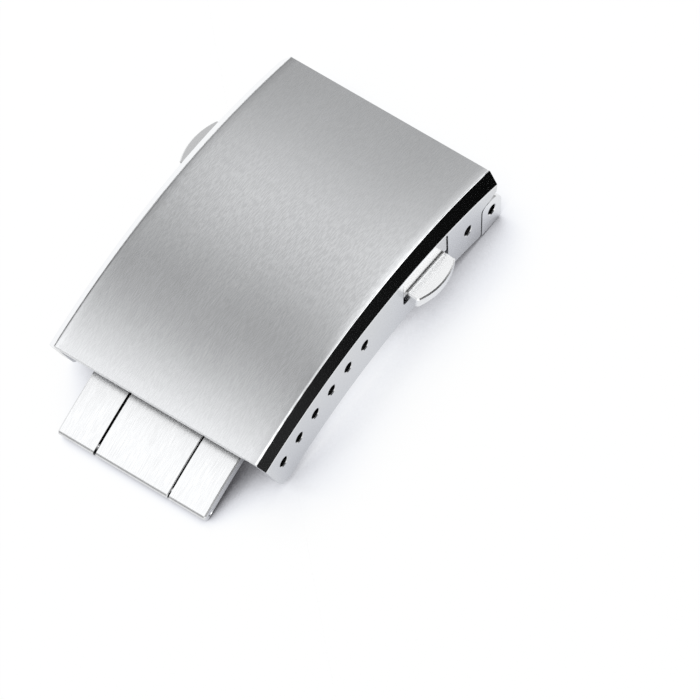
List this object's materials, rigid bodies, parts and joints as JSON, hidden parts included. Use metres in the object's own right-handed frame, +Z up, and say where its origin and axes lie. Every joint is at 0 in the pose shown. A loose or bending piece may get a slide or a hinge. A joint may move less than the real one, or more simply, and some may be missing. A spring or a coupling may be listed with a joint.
{
  "type": "folding deployant watch clasp with two push buttons",
  "caption": "Folding watch clasp: curved bevelled cover with side push buttons and adjustment holes over a forked fold-out strip, centre blade, latch stud and lugged end bracket.",
  "frame": {"origin": "middle of the footprint, on the surface that the closed clasp stands on", "axes": "+X from the pivoted head end to the tail end with the adjustment holes, +Y across the clasp, +Z up out of the crown"},
  "size_m": [0.0372, 0.0254, 0.0085],
  "materials": {
    "brushed": "fine lengthwise brushing",
    "polished": "polished",
    "plain": "plain sheet and wire, unpolished"
  },
  "bodies": {
    "cover": {"cover_shell": "brushed", "latch_cage": "plain", "cage_screws": "plain", "button_spring_left": "plain", "button_spring_right": "plain"},
    "fork": {"fork": "brushed", "pivot_tube": "plain", "pivot_spring": "plain", "hinge_pin": "polished"},
    "blade": {"centre_blade": "brushed", "latch_stud": "polished", "end_bracket": "polished", "bracket_lug_left": "polished", "bracket_lug_right": "polished"},
    "pivot_tip_left": {"pivot_tip_left": "polished"},
    "pivot_tip_right": {"pivot_tip_right": "polished"},
    "button_left": {"button_left": "polished", "latch_slide_left": "plain", "slide_rivets_left": "plain"},
    "button_right": {"button_right": "polished", "latch_slide_right": "plain", "slide_rivets_right": "plain"}
  },
  "joints": [
    {"name": "fork_hinge", "type": "hinge", "parent": "cover", "child": "fork", "pos_m": [-0.01393, 0, 0.00336], "axis": [0, 1, 0], "range_deg": [0, 177]},
    {"name": "blade_hinge", "type": "hinge", "parent": "fork", "child": "blade", "pos_m": [0.01776, 0, 0.00078], "axis": [0, 1, 0], "range_deg": [-177, 0]},
    {"name": "button_left_slide", "type": "slide", "parent": "cover", "child": "button_left", "axis": [0, 1, 0], "range_m": [0, 0.0008], "stiffness_N_per_m": 15, "springref_m": -0.001, "deforming": ["button_spring_left"]},
    {"name": "button_right_slide", "type": "slide", "parent": "cover", "child": "button_right", "axis": [0, -1, 0], "range_m": [0, 0.0008], "stiffness_N_per_m": 15, "springref_m": -0.001, "deforming": ["button_spring_right"]},
    {"name": "pivot_tip_left_slide", "type": "slide", "parent": "fork", "child": "pivot_tip_left", "axis": [0, 1, 0], "range_m": [0, 0.00065], "stiffness_N_per_m": 2, "springref_m": -0.002, "deforming": ["pivot_spring"]},
    {"name": "pivot_tip_right_slide", "type": "slide", "parent": "fork", "child": "pivot_tip_right", "axis": [0, -1, 0], "range_m": [0, 0.00065], "stiffness_N_per_m": 2, "springref_m": -0.002, "deforming": ["pivot_spring"]}
  ],
  "couplings": [
    {"joint": "blade_hinge", "follows": "fork_hinge", "ratio": -1}
  ]
}
